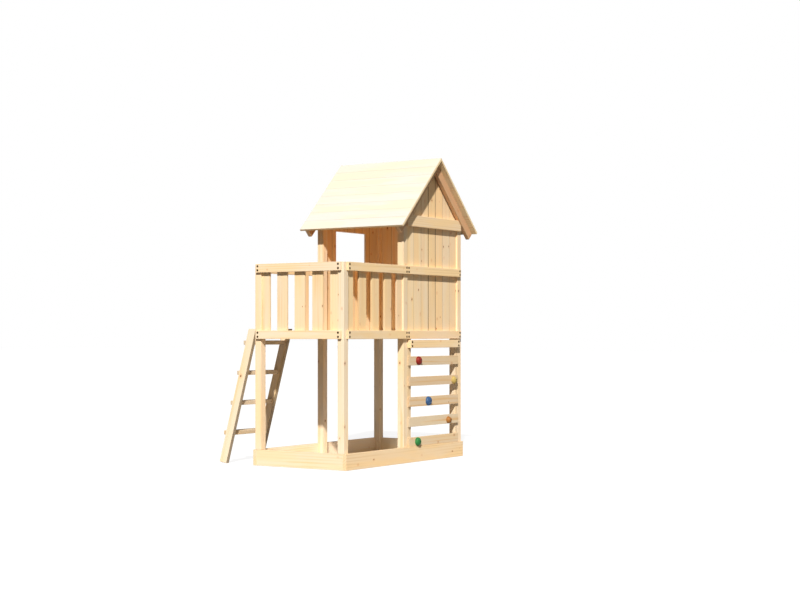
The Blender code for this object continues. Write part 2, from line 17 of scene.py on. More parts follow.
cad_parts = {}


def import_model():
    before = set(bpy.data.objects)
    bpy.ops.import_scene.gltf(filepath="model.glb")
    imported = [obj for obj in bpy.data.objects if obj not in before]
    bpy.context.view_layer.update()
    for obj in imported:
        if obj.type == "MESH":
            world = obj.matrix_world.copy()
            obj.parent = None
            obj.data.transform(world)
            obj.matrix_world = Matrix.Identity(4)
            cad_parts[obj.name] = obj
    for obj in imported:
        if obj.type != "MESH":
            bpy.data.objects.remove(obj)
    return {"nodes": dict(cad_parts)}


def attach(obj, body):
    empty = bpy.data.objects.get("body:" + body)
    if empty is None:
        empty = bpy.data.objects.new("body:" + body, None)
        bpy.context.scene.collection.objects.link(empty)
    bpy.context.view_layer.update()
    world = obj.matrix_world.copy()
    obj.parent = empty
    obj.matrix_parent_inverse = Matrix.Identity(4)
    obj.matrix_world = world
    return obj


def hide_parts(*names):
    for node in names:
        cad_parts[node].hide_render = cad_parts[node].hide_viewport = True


LOG = logging.getLogger("playhouse")

Node = bpy.types.Node
Socket = bpy.types.NodeSocket
Object = bpy.types.Object
Mesh = bpy.types.Mesh
Material = bpy.types.Material
Colour = Tuple[float, float, float, float]
Span = Tuple[float, float]
Point = Tuple[float, float, float]

# World place of the base frame's front left corner, from which all measured positions are counted.
CORNER = Vector((-0.3505328, -1.0902930, 0.0))
# Thickness of the cladding.
PANEL_THICK = 0.018
# Painted light: boards' faces that look right are made a little lighter, standing in for the light that falls on
# that side.
RIGHT_FACE_PAINTED_LIGHT = 1.14
# A face looks squarely one way where its normal has at least this share of it.
SQUARELY = 0.9
# The least share of the grain's direction for end grain, and of a panel's own for a seamed face.
END_GRAIN = 0.8
SEAMED = 0.04
# A face looks a little down where its normal's height is in this range, and such faces take a piece's painted shade
# (under).
PAINTED_SHADE_DOWN_RANGE = (-0.5, -0.1)
# Slack in telling the rails on a panel's back from its boards.
RAIL_SLACK = 0.001
# Points closer than this are one, and faces bent less than this are flat.
MERGE_REACH = 0.00004
FLAT_ANGLE = math.radians(0.6)
# Edges sharper than this are rounded, unless they are as short as those of grooves and recesses.
ROUNDED_ANGLE = math.radians(62.0)
ROUNDED_LENGTH = 0.0155
# Shading breaks at edges sharper than this, and large flat faces weigh this much in it.
SHARP_ANGLE = math.radians(50.0)
FLAT_WEIGHT = 80
# How far a solid's groove reaches from its seam and into its panel, and below what depth its floor lies.
GROOVE_REACH = 0.0026
GROOVE_DEPTH = 0.0036
GROOVE_FLOOR = 0.0015
# Steps between the seeds of two pieces, and from a panel's boards to the rails on its back.
PIECE_SEEDS = 17
RAIL_SEEDS = 400
# Factors of the repeatable lots, and how far they shift the grain along and across a board.
LOTS = (12.9898, 78.233, 43758.5453)
SHIFT = (40.0, 9.0, 9.0)
# What is stored at the corners of a board's faces for its material.
STORED = ("grain", "board", "painted_highlight_and_pink", "seam")
WHITE = (1.0, 1.0, 1.0, 1.0)


class Axis(Enum):
    """The way a board's grain runs."""

    X = Vector((1.0, 0.0, 0.0))
    Y = Vector((0.0, 1.0, 0.0))
    Z = Vector((0.0, 0.0, 1.0))


class Finish(Enum):
    """The record's material slots for timber."""

    FRAME = "pine_frame"
    BOARDS = "pine_boards"
    ROOF = "pine_roof"


class Side(Enum):
    """The way a screwed face looks."""

    FRONT = Vector((0.0, -1.0, 0.0))
    BACK = Vector((0.0, 1.0, 0.0))
    LEFT = Vector((-1.0, 0.0, 0.0))
    RIGHT = Vector((1.0, 0.0, 0.0))


def srgb(red: int, green: int, blue: int) -> Colour:
    """Turn an 8-bit colour into linear light.

    Args:
        red, green, blue: the colour as it shows on screen, 0 to 255.

    Returns:
        The same colour as a linear RGBA value.
    """
    values = [channel / 255.0 for channel in (red, green, blue)]
    linear = [v / 12.92 if v <= 0.04045 else ((v + 0.055) / 1.055) ** 2.4 for v in values]
    return (linear[0], linear[1], linear[2], 1.0)


def shade(colour: Colour, shares: Point) -> Colour:
    """A darker colour, with a share of each of the first one's values."""
    return (colour[0] * shares[0], colour[1] * shares[1], colour[2] * shares[2], 1.0)


def scatter(number: int, channel: int) -> float:
    """A repeatable value from 0 to 1 for a board's number.

    Args:
        number: the board's number.
        channel: which of the board's several values is asked for.

    Returns:
        A value that looks random but is the same on each run.
    """
    mixed = math.sin(number * LOTS[0] + channel * LOTS[1]) * LOTS[2]
    return mixed - math.floor(mixed)


def between(span: Span, share: float) -> float:
    """The value that lies a share of the way from a span's first value to its second."""
    return span[0] + (span[1] - span[0]) * share


def deselect_all() -> None:
    """Leave nothing selected."""
    for obj in list(bpy.context.selected_objects):
        obj.select_set(False)


def make_active(obj: Object) -> None:
    """Select one object only and make it the active one.

    Args:
        obj: the object.
    """
    deselect_all()
    obj.select_set(True)
    bpy.context.view_layer.objects.active = obj


def settle(obj: Object) -> None:
    """Move an object's place, turn and size into its mesh."""
    make_active(obj)
    bpy.ops.object.transform_apply(location=True, rotation=True, scale=True)


def modify(obj: Object, name: str, kind: str, **values: object) -> None:
    """Shape a mesh with a modifier, and apply it.

    Args:
        obj: the mesh's object.
        name: the modifier's name.
        kind: Blender's name of its type.
        values: properties to set on it.
    """
    modifier = obj.modifiers.new(name, kind)
    for key, value in values.items():
        setattr(modifier, key, value)
    make_active(obj)
    bpy.ops.object.modifier_apply(modifier=name)


def add_object(name: str, data: bpy.types.ID, **values: object) -> Object:
    """Put a new object into the scene.

    Args:
        name: its name.
        data: its mesh, lamp or camera.
        values: properties to set on that.

    Returns:
        The object.
    """
    for key, value in values.items():
        setattr(data, key, value)
    obj = bpy.data.objects.new(name, data)
    bpy.context.scene.collection.objects.link(obj)
    return obj


@contextmanager
def editing() -> Iterator[None]:
    """Hold the active mesh in edit mode."""
    bpy.ops.object.mode_set(mode="EDIT")
    yield
    bpy.ops.object.mode_set(mode="OBJECT")


def unselect_mesh(kind: str) -> None:
    """Deselect all of the active mesh, so that code can select its parts.

    Args:
        kind: what is selected next, VERT or FACE.
    """
    with editing():
        bpy.ops.mesh.select_mode(type=kind)
        bpy.ops.mesh.select_all(action="DESELECT")


def name_and_coat(piece: Object, name: str, material: Material) -> None:
    """Name a piece and give it one material.

    Args:
        piece: the piece.
        name: its name.
        material: its only finish.
    """
    piece.name = name
    piece.data.name = name
    piece.data.materials.clear()
    piece.data.materials.append(material)


class NodeGraph:
    """A small helper that adds and links nodes in one tree."""

    def __init__(self, tree: bpy.types.NodeTree) -> None:
        """Keep the tree that is worked on."""
        self.tree = tree

    def add(self, kind: str, inputs: Optional[Dict[object, object]] = None, **values: object) -> Node:
        """Add a node, set its properties and feed its inputs.

        Args:
            kind: Blender's name of the node type.
            inputs: what its inputs get, by their names or numbers.
            values: properties to set on it.

        Returns:
            The new node.
        """
        node = self.tree.nodes.new(kind)
        for name, value in values.items():
            setattr(node, name, value)
        self.feed(node, inputs or {})
        return node

    def feed(self, node: Node, inputs: Dict[object, object]) -> None:
        """Link outputs to a node's inputs, or set the inputs' own values.

        Args:
            node: the node.
            inputs: an output or a value for the name or number of each input.
        """
        for name, value in inputs.items():
            if isinstance(value, Socket):
                self.tree.links.new(value, node.inputs[name])
            else:
                node.inputs[name].default_value = value

    def math(self, operation: str, first: object, second: object = 0.0, clamp: bool = False) -> Socket:
        """A Math node on two outputs or numbers; clamp keeps the result between 0 and 1."""
        return self.add("ShaderNodeMath", {0: first, 1: second}, operation=operation, use_clamp=clamp).outputs[0]

    def mix(self, factor: object, first: object, second: object) -> Socket:
        """A colour Mix node, which goes from the first colour to the second."""
        node = self.add("ShaderNodeMix", data_type="RGBA", blend_type="MIX", clamp_result=True)
        self.feed(node, {0: factor, 6: first, 7: second})
        return node.outputs[2]

    def parts(self, vector: Socket) -> List[Socket]:
        """The three values of a vector."""
        return list(self.add("ShaderNodeSeparateXYZ", {0: vector}).outputs)

    def stored(self, name: str) -> Socket:
        """A vector that is stored on the mesh."""
        return self.add("ShaderNodeAttribute", attribute_name=name, attribute_type="GEOMETRY").outputs["Vector"]

    def place(self) -> Socket:
        """The Object coordinates."""
        return self.add("ShaderNodeTexCoord").outputs["Object"]

    def stretch(self, vector: Socket, scale: Point, offset: Point = (0.0, 0.0, 0.0)) -> Socket:
        """Coordinates that a Mapping node scales and then shifts."""
        inputs = {"Vector": vector, "Scale": scale, "Location": offset}
        return self.add("ShaderNodeMapping", inputs, vector_type="POINT").outputs["Vector"]

    def noise(self, vector: Socket, scale: float, detail: float, rough: float = 0.5) -> Socket:
        """A Noise Texture's value, from 0 to 1."""
        inputs = {"Vector": vector, "Scale": scale, "Detail": detail, "Roughness": rough}
        return self.add("ShaderNodeTexNoise", inputs, noise_dimensions="3D").outputs["Fac"]

    def ramp(self, value: Socket, low: float, high: float, start: float = 0.0, stop: float = 1.0) -> Socket:
        """A smooth step of a value, from start where it is low to stop where it is high."""
        inputs = {"Value": value, "From Min": low, "From Max": high, "To Min": start, "To Max": stop}
        return self.add("ShaderNodeMapRange", inputs, interpolation_type="SMOOTHSTEP").outputs["Result"]

    def bump(self, height: Socket, relief: Span) -> Socket:
        """The normal that a Bump node bends by a height; relief is its strength and distance."""
        inputs = {"Strength": relief[0], "Distance": relief[1], "Height": height}
        return self.add("ShaderNodeBump", inputs).outputs["Normal"]

    def plain(self, kind: str, colour: object) -> Socket:
        """A plain shader of one kind, in a colour or in what an output gives."""
        return self.add(kind, {"Color": colour}).outputs[0]


def new_material(name: str) -> Tuple[Material, NodeGraph, Node]:
    """Make a node material.

    Args:
        name: its name.

    Returns:
        The material, its nodes and its Principled BSDF.
    """
    material = bpy.data.materials.new(name)
    material.use_nodes = True
    return material, NodeGraph(material.node_tree), material.node_tree.nodes["Principled BSDF"]


@dataclass(frozen=True)
class PineGrain:
    """The shared pattern of planed pine: growth streaks, fine fibres and knots.

    Its coordinates run along the board in X, and are shifted for each board so that no two look alike. The scales
    are along and across the board, and knots are sized and fade out in shares of their cell and of their size.
    """

    bend: Point = (0.9, 5.0, 5.0)
    rings: Point = (0.6, 15.0, 15.0)
    wide: Point = (1.1, 38.0, 38.0)
    fibres: Point = (9.0, 420.0, 420.0)
    clouds: Point = (1.6, 9.0, 9.0)
    rings_shift: Point = (0.3, 0.9, 1.7)
    rings_set: Tuple[Tuple[str, float], ...] = (("Scale", 1.1), ("Distortion", 4.5), ("Detail", 2.0),
                                                ("Detail Scale", 0.8))
    cells: Point = (8.5, 13.0, 13.0)
    warp: Point = (30.0, 60.0, 60.0)
    warping: float = 0.08
    knot_size: Span = (0.035, 0.055)
    knot_edge: Span = (0.8, 1.15)
    halo_edge: Span = (1.0, 3.4)

    def streaks(self, graph: NodeGraph, grain: Socket) -> Socket:
        """Growth rings, which are bands across the board bent by slow noise along it, and broad streaks.

        Args:
            graph: the group's nodes.
            grain: the board's coordinates.

        Returns:
            The streaks' socket.
        """
        bend = graph.noise(graph.stretch(grain, self.bend), 1.0, 2.0)
        rings = graph.add("ShaderNodeTexWave", wave_type="RINGS", rings_direction="X", wave_profile="SAW")
        graph.feed(rings, {"Vector": graph.stretch(grain, self.rings, self.rings_shift), **dict(self.rings_set)})
        wide = graph.noise(graph.stretch(grain, self.wide), 1.0, 4.0, 0.6)
        soft_rings = graph.ramp(rings.outputs["Fac"], 0.1, 0.95)
        blend = graph.math("MULTIPLY", soft_rings, graph.ramp(bend, 0.3, 0.7, 0.25, 0.75))
        return graph.math("ADD", graph.math("MULTIPLY", blend, 0.5), graph.math("MULTIPLY", wide, 0.5))

    def knots(self, graph: NodeGraph, grain: Socket, share: Socket) -> List[Socket]:
        """Knots in a few cells of a sparse pattern, a little longer than wide.

        Args:
            graph: the group's nodes.
            grain: the board's coordinates.
            share: the share of the cells that hold a knot.

        Returns:
            The masks of the knots and of the halos around them.
        """
        warp = graph.noise(graph.stretch(grain, self.warp), 1.0, 2.0)
        ends = {0: graph.stretch(grain, self.cells), 1: graph.math("MULTIPLY", warp, self.warping)}
        placed = graph.add("ShaderNodeVectorMath", ends, operation="ADD").outputs[0]
        cells = graph.add("ShaderNodeTexVoronoi", {"Vector": placed, "Scale": 1.0}, feature="F1")
        lot = graph.add("ShaderNodeSeparateColor", {0: cells.outputs["Color"]}).outputs
        chosen = graph.math("LESS_THAN", lot[0], share)
        size = graph.math("ADD", graph.math("MULTIPLY", lot[1], self.knot_size[1]), self.knot_size[0])
        reach = graph.math("DIVIDE", cells.outputs["Distance"], size)
        return [graph.math("MULTIPLY", graph.ramp(reach, *edge, 1.0, 0.0), chosen)
                for edge in (self.knot_edge, self.halo_edge)]

    def build(self) -> bpy.types.NodeTree:
        """Make the node group.

        Returns:
            The group, which gives masks and a height.
        """
        group = bpy.data.node_groups.new("PineGrain", "ShaderNodeTree")
        group.interface.new_socket(name="Grain", in_out="INPUT", socket_type="NodeSocketVector")
        group.interface.new_socket(name="Knots", in_out="INPUT", socket_type="NodeSocketFloat")
        for title in ("Streaks", "Cloud", "Knot", "Halo", "Height"):
            group.interface.new_socket(name=title, in_out="OUTPUT", socket_type="NodeSocketFloat")
        graph = NodeGraph(group)
        given = graph.add("NodeGroupInput").outputs
        grain = given["Grain"]
        streaks = self.streaks(graph, grain)
        knot, halo = self.knots(graph, grain, given["Knots"])
        cloud = graph.noise(graph.stretch(grain, self.clouds), 1.0, 2.0)
        fibres = graph.noise(graph.stretch(grain, self.fibres), 1.0, 3.0, 0.65)
        height = graph.math("ADD", graph.math("MULTIPLY", fibres, 0.6), graph.math("MULTIPLY", streaks, 0.4))
        graph.add("NodeGroupOutput", {"Streaks": streaks, "Cloud": cloud, "Knot": knot, "Halo": halo,
                                      "Height": height})
        return group


@dataclass(frozen=True)
class PineMaterial:
    """Planed, untreated pine, from its light early wood to the dark streaks of its late wood.

    Single boards drift to the warm or the rosy colour, and some faces are painted paler, a painted highlight for the
    strong light on them.
    A share of the pattern's cells hold knots with a halo, end wood is a little duller, and the lines between boards
    are dust and painted shade.
    """

    name: str
    light: Colour
    dark: Colour
    warm: Colour
    knots: float
    contrast: float
    rosy: Colour = (0.84, 0.50, 0.28, 1.0)
    painted_highlight_colour: Colour = (0.642, 0.640, 0.612, 1.0)
    halo: Colour = srgb(206, 138, 80)
    knot: Colour = srgb(98, 54, 28)
    end_wood: Colour = srgb(206, 168, 116)
    dust_and_seam_shade: Colour = srgb(72, 44, 22)
    roughness: Span = (0.72, 0.54)
    gloss: float = 0.25
    relief: Span = (0.35, 0.0012)

    def build(self, grain_group: bpy.types.NodeTree) -> Material:
        """Make the node material.

        Args:
            grain_group: the shared pine pattern.

        Returns:
            The finished material.
        """
        material, graph, shader = new_material(self.name)
        pattern = graph.add("ShaderNodeGroup", node_tree=grain_group)
        graph.feed(pattern, {"Grain": graph.stored("grain"), "Knots": self.knots})
        masks = pattern.outputs
        # The stored lightness holds the board's random tone together with the painted light and shade set by each
        # face's direction.
        drift, lightness, end_on = graph.parts(graph.stored("board"))
        painted_highlight_share, pink, _ = graph.parts(graph.stored("painted_highlight_and_pink"))

        # Each board drifts a little in hue and in lightness, and slow clouds run along it.
        cloud = graph.ramp(masks["Cloud"], 0.38, 0.66, -0.30, 0.40)
        base = graph.mix(graph.math("ADD", drift, cloud, clamp=True), self.light, self.warm)
        base = graph.mix(pink, base, self.rosy)
        # Painted highlight: faces with a highlight share are paled in patches, their streaks too, standing in for
        # strong light on them.
        painted_highlight_patches = graph.ramp(masks["Cloud"], 0.38, 0.60, 0.50, 1.0)
        base = graph.mix(graph.math("MULTIPLY", painted_highlight_share, painted_highlight_patches), base, self.painted_highlight_colour)
        streak = graph.ramp(masks["Streaks"], 0.36, 0.62, 0.0, self.contrast)
        base = graph.mix(streak, base, graph.mix(graph.math("MULTIPLY", painted_highlight_share, 0.80), self.dark, self.painted_highlight_colour))
        # Knots lie over the streaks, end grain is a little duller, and dust and painted shade darken the joints
        # between boards.
        for mask, strength, colour in ((masks["Halo"], 0.40, self.halo), (masks["Knot"], 0.92, self.knot),
                                       (end_on, 0.12, self.end_wood)):
            base = graph.mix(graph.math("MULTIPLY", mask, strength), base, colour)
        base = graph.mix(self.joint_and_seam_shade(graph), base, self.dust_and_seam_shade)
        graph.feed(shader, {
            "Base Color": graph.add("ShaderNodeHueSaturation", {"Color": base, "Value": lightness}).outputs[0],
            "Roughness": graph.ramp(masks["Height"], 0.3, 0.7, *self.roughness),
            "Specular IOR Level": self.gloss,
            "Normal": graph.bump(masks["Height"], self.relief),
        })
        return material

    def joint_and_seam_shade(self, graph: NodeGraph) -> Socket:
        """A mask of the dark line at a board's two long edges, partly dust and partly painted shade of the seam.

        Args:
            graph: the material's nodes.

        Returns:
            The mask's socket.
        """
        across, first, second = graph.parts(graph.stored("seam"))
        beyond = graph.math("GREATER_THAN", across, 0.0)
        rise = graph.math("MULTIPLY", beyond, graph.math("SUBTRACT", second, first))
        strength = graph.math("ADD", first, rise)
        return graph.math("MULTIPLY", graph.ramp(graph.math("ABSOLUTE", across), 0.90, 0.955), strength)


@dataclass(frozen=True)
class PlasticMaterial:
    """Grainy moulded plastic in one colour, a little paler where hands and shoes rub it.

    Pits are shares of the colour, fleck and patch hold a noise's settings, and relief the bumps' strength and depth.
    """

    name: str
    colour: Colour
    worn: Colour
    fleck: Point = (260.0, 3.0, 0.7)
    patch: Point = (34.0, 3.0, 0.55)
    pits: Point = (0.55, 0.55, 0.55)
    roughness: Span = (0.62, 0.40)
    gloss: float = 0.25
    relief: Span = (0.5, 0.0008)

    def build(self) -> Material:
        """Make the node material.

        Returns:
            The finished material.
        """
        material, graph, shader = new_material(self.name)
        place = graph.place()
        fleck = graph.noise(place, *self.fleck)
        rubbed = graph.ramp(graph.noise(place, *self.patch), 0.46, 0.74, 0.0, 0.55)
        base = graph.mix(rubbed, self.colour, self.worn)
        base = graph.mix(graph.ramp(fleck, 0.30, 0.46, 0.45, 0.0), base, shade(self.colour, self.pits))
        graph.feed(shader, {
            "Base Color": base,
            "Roughness": graph.ramp(fleck, 0.3, 0.7, *self.roughness),
            "Specular IOR Level": self.gloss,
            "Normal": graph.bump(fleck, self.relief),
        })
        return material


@dataclass(frozen=True)
class SteelMaterial:
    """Coated or plain steel for screw and bolt heads; dull spots keep shares of its colour."""

    name: str
    colour: Colour
    roughness: Span
    metallic: float
    gloss: float = 0.5
    mottle: Point = (420.0, 3.0, 0.6)
    dull: Point = (0.45, 0.42, 0.38)

    def build(self) -> Material:
        """Make the node material.

        Returns:
            The finished material.
        """
        material, graph, shader = new_material(self.name)
        mottle = graph.noise(graph.place(), *self.mottle)
        graph.feed(shader, {
            "Base Color": graph.mix(graph.ramp(mottle, 0.4, 0.7), self.colour, shade(self.colour, self.dull)),
            "Roughness": graph.ramp(mottle, 0.3, 0.7, *self.roughness),
            "Metallic": self.metallic,
            "Specular IOR Level": self.gloss,
        })
        return material


@dataclass
class Palette:
    """All finishes of the playhouse."""

    timber: Dict[Finish, Material] = field(default_factory=dict)
    plastic: Dict[str, Material] = field(default_factory=dict)
    steel: Optional[Material] = None
    bolt: Optional[Material] = None

    def build(self) -> "Palette":
        """Make every material.

        Returns:
            This palette, filled in.
        """
        group = PineGrain().build()
        pines = {
            Finish.FRAME: PineMaterial("PineFrame", (0.81, 0.675, 0.505, 1.0), (0.76, 0.54, 0.29, 1.0),
                                       (0.87, 0.65, 0.37, 1.0), 0.32, 0.88),
            Finish.BOARDS: PineMaterial("PineBoards", (0.81, 0.675, 0.485, 1.0), (0.78, 0.52, 0.27, 1.0),
                                        (0.87, 0.66, 0.37, 1.0), 0.48, 1.0),
            Finish.ROOF: PineMaterial("PineRoof", (0.80, 0.69, 0.48, 1.0), (0.76, 0.56, 0.34, 1.0),
                                      (0.82, 0.70, 0.44, 1.0), 0.0, 1.0),
        }
        self.timber = {finish: pine.build(group) for finish, pine in pines.items()}
        plastics = {
            "red": ((0.21, 0.010, 0.005, 1.0), (0.36, 0.035, 0.015, 1.0)),
            "yellow": ((0.44, 0.32, 0.09, 1.0), (0.62, 0.52, 0.29, 1.0)),
            "blue": ((0.028, 0.080, 0.20, 1.0), (0.12, 0.20, 0.33, 1.0)),
            "orange": ((0.32, 0.125, 0.024, 1.0), (0.48, 0.26, 0.085, 1.0)),
            "green": ((0.015, 0.155, 0.034, 1.0), (0.075, 0.31, 0.105, 1.0)),
        }
        for colour, (fresh, worn) in plastics.items():
            self.plastic[colour] = PlasticMaterial("Plastic_" + colour, fresh, worn).build()
        # The screws' dark brown is partly painted shade of the recesses they cover.
        self.steel = SteelMaterial("ScrewSteelRecessShade", (0.075, 0.047, 0.017, 1.0), (0.62, 0.82), 0.0, 0.2).build()
        self.bolt = SteelMaterial("BoltSteel", (0.12, 0.11, 0.10, 1.0), (0.34, 0.54), 1.0).build()
        return self


def reach_along(mesh: Mesh, direction: Vector) -> Span:
    """How far a mesh reaches along a direction, as its lowest and highest value."""
    values = [vertex.co.dot(direction) for vertex in mesh.vertices]
    return min(values), max(values)


@dataclass(frozen=True)
class Timber:
    """How one solid of wood is dressed.

    Args:
        node: the solid's name.
        finish: which of the timber finishes it takes.
        along: unit direction of its grain.
        radius: how far its edges are rounded.
        across: the axis along which a panel's boards lie side by side, or None for a single board.
        boards: how many boards the panel has.
        span: the panel's two edges along that axis; its own box where left out.
        warmth: range of the boards' drift from pale to warm.
        tone: range of the boards' lightness.
        rosy: how pink a board gets at most.
        rim: painted shade on the faces that look to the front or back, given as their lightness against the others.
        face: outward direction of the panel's seamed face.
        painted_highlight: how far that face is painted paler, a painted highlight for the strong light on it, at its
            first and last board.
        joint: how dark the lines between the boards are, as dust and painted shade.
        seam: width and depth of a tight seam.
        open_seams: the seams that stand open, each with its number from 1, width, depth and darkness, the darkness
            partly painted shade in the gap.
        under: painted shade on the faces that look a little down, given as their lightness against the others.
        rail_along: direction of the grain of rails that are one with the panel's back.
    """

    node: str
    finish: Finish
    along: Vector
    radius: float = 0.003
    across: Optional[Vector] = None
    boards: int = 1
    span: Optional[Span] = None
    warmth: Span = (0.0, 0.6)
    tone: Span = (0.96, 1.02)
    rosy: float = 0.20
    rim: float = 1.0
    face: Optional[Vector] = None
    painted_highlight: Span = (0.0, 0.0)
    joint: float = 0.30
    seam: Span = (0.0018, 0.0035)
    open_seams: Tuple[Tuple[int, float, float, float], ...] = ()
    under: float = 1.0
    rail_along: Optional[Vector] = None

    def edges(self, mesh: Mesh) -> Span:
        """The panel's two edges along its across axis."""
        return self.span or reach_along(mesh, self.across)

    def board_of(self, centre: Vector, low: float, high: float) -> int:
        """Which board of a panel a face is on.

        Args:
            centre: the face's middle.
            low, high: the panel's edges along its across axis.

        Returns:
            The board's number, from 0.
        """
        if self.across is None or self.boards == 1:
            return 0
        share = (centre.dot(self.across) - low) / (high - low)
        return max(0, min(self.boards - 1, int(share * self.boards)))

    def joint_at(self, number: int) -> float:
        """How dark the line at a seam is; a panel's own two edges have none.

        Args:
            number: the seam's number, from 0 for the panel's first edge.

        Returns:
            The darkness, from 0 to 1.
        """
        if not 0 < number < self.boards:
            return 0.0
        opened = {seam[0]: seam[3] for seam in self.open_seams}
        return opened.get(number, self.joint)

    def tone_of(self, normal: Vector, seed: int) -> float:
        """How light a face is: its board's random tone, with painted light on faces that look right and painted
        shade from rim and under.

        Args:
            normal: the way it looks.
            seed: its board's seed.

        Returns:
            The lightness, where 1 leaves the colour as it is.
        """
        tone = between(self.tone, scatter(seed, 5))
        # Painted light on faces that look right, and painted shade on those that look to the front or back or a
        # little down.
        if normal.x > SQUARELY:
            tone *= RIGHT_FACE_PAINTED_LIGHT
        if abs(normal.y) > SQUARELY:
            tone *= self.rim
        if PAINTED_SHADE_DOWN_RANGE[0] < normal.z < PAINTED_SHADE_DOWN_RANGE[1]:
            tone *= self.under
        return tone


def clean_copy(node: Object, name: str) -> Object:
    """A merged copy of a solid, whose flat faces are one face each.

    Args:
        node: the solid, which is left as it is.
        name: name of the copy.

    Returns:
        The copy, alone in the scene's collection.
    """
    copy = add_object(name, node.data.copy())
    copy.data.name = name
    copy.data.materials.clear()
    for key in [item.name for item in copy.data.uv_layers]:
        copy.data.uv_layers.remove(copy.data.uv_layers[key])
    make_active(copy)
    with editing():
        bpy.ops.mesh.select_all(action="SELECT")
        bpy.ops.mesh.remove_doubles(threshold=MERGE_REACH)
        bpy.ops.mesh.customdata_custom_splitnormals_clear()
        bpy.ops.mesh.dissolve_limited(angle_limit=FLAT_ANGLE)
    return copy


def round_edges(piece: Object, radius: float) -> None:
    """Round a board's long square edges, and leave grooves and screw recesses crisp.

    Args:
        piece: the board's mesh.
        radius: how far the rounding reaches.
    """
    mesh = piece.data
    faces_of: Dict[Tuple[int, int], List[int]] = {}
    for polygon in mesh.polygons:
        for key in polygon.edge_keys:
            faces_of.setdefault(key, []).append(polygon.index)
    weights = mesh.attributes.new("bevel_weight_edge", "FLOAT", "EDGE")
    for edge in mesh.edges:
        pair = faces_of.get(tuple(sorted(edge.vertices)), [])
        start, end = (mesh.vertices[i].co for i in edge.vertices)
        if len(pair) != 2 or (start - end).length < ROUNDED_LENGTH:
            continue
        if mesh.polygons[pair[0]].normal.angle(mesh.polygons[pair[1]].normal, 0.0) > ROUNDED_ANGLE:
            weights.data[edge.index].value = 1.0
    modify(piece, "Rounding", "BEVEL", width=radius, segments=2, limit_method="WEIGHT", use_clamp_overlap=True)
    spare = piece.data.attributes.get("bevel_weight_edge")
    if spare is not None:
        piece.data.attributes.remove(spare)


def shape_seams(piece: Object, plan: Timber) -> None:
    """Tighten a panel's seams to fine lines, and open the few that have parted.

    Args:
        piece: the panel's mesh.
        plan: how it is dressed; its face and across directions say where the seams are.
    """
    mesh = piece.data
    level = reach_along(mesh, plan.face)[1]
    low, high = plan.edges(mesh)
    step = (high - low) / plan.boards
    sizes = {seam[0]: seam[1:3] for seam in plan.open_seams}
    for vertex in mesh.vertices:
        place = vertex.co.dot(plan.across)
        number = round((place - low) / step)
        below = level - vertex.co.dot(plan.face)
        off = place - (low + number * step)
        if not 0 < number < plan.boards or abs(off) > GROOVE_REACH or below > GROOVE_DEPTH:
            continue
        seam_width, seam_depth = sizes.get(number, plan.seam)
        if below > GROOVE_FLOOR:
            vertex.co -= plan.face * (seam_depth - below)
        else:
            vertex.co += plan.across * (math.copysign(seam_width / 2, off) - off)


def part_boards(piece: Object, plan: Timber) -> None:
    """Cut a panel's mesh at its seams, so that each board has faces of its own on both sides.

    Args:
        piece: the panel's mesh.
        plan: how it is dressed.
    """
    low, high = plan.edges(piece.data)
    step = (high - low) / plan.boards
    make_active(piece)
    with editing():
        for number in range(1, plan.boards):
            bpy.ops.mesh.select_all(action="SELECT")
            bpy.ops.mesh.bisect(plane_co=plan.across * (low + number * step), plane_no=plan.across)


def grain_frame(along: Vector) -> Tuple[Vector, Vector, Vector]:
    """A board's own directions.

    Args:
        along: the way its grain runs.

    Returns:
        That direction and two ways across it.
    """
    aside = along.orthogonal().normalized()
    if abs(along.z) < 0.99:
        aside = along.cross(Axis.Z.value).normalized()
    return along, aside, along.cross(aside)


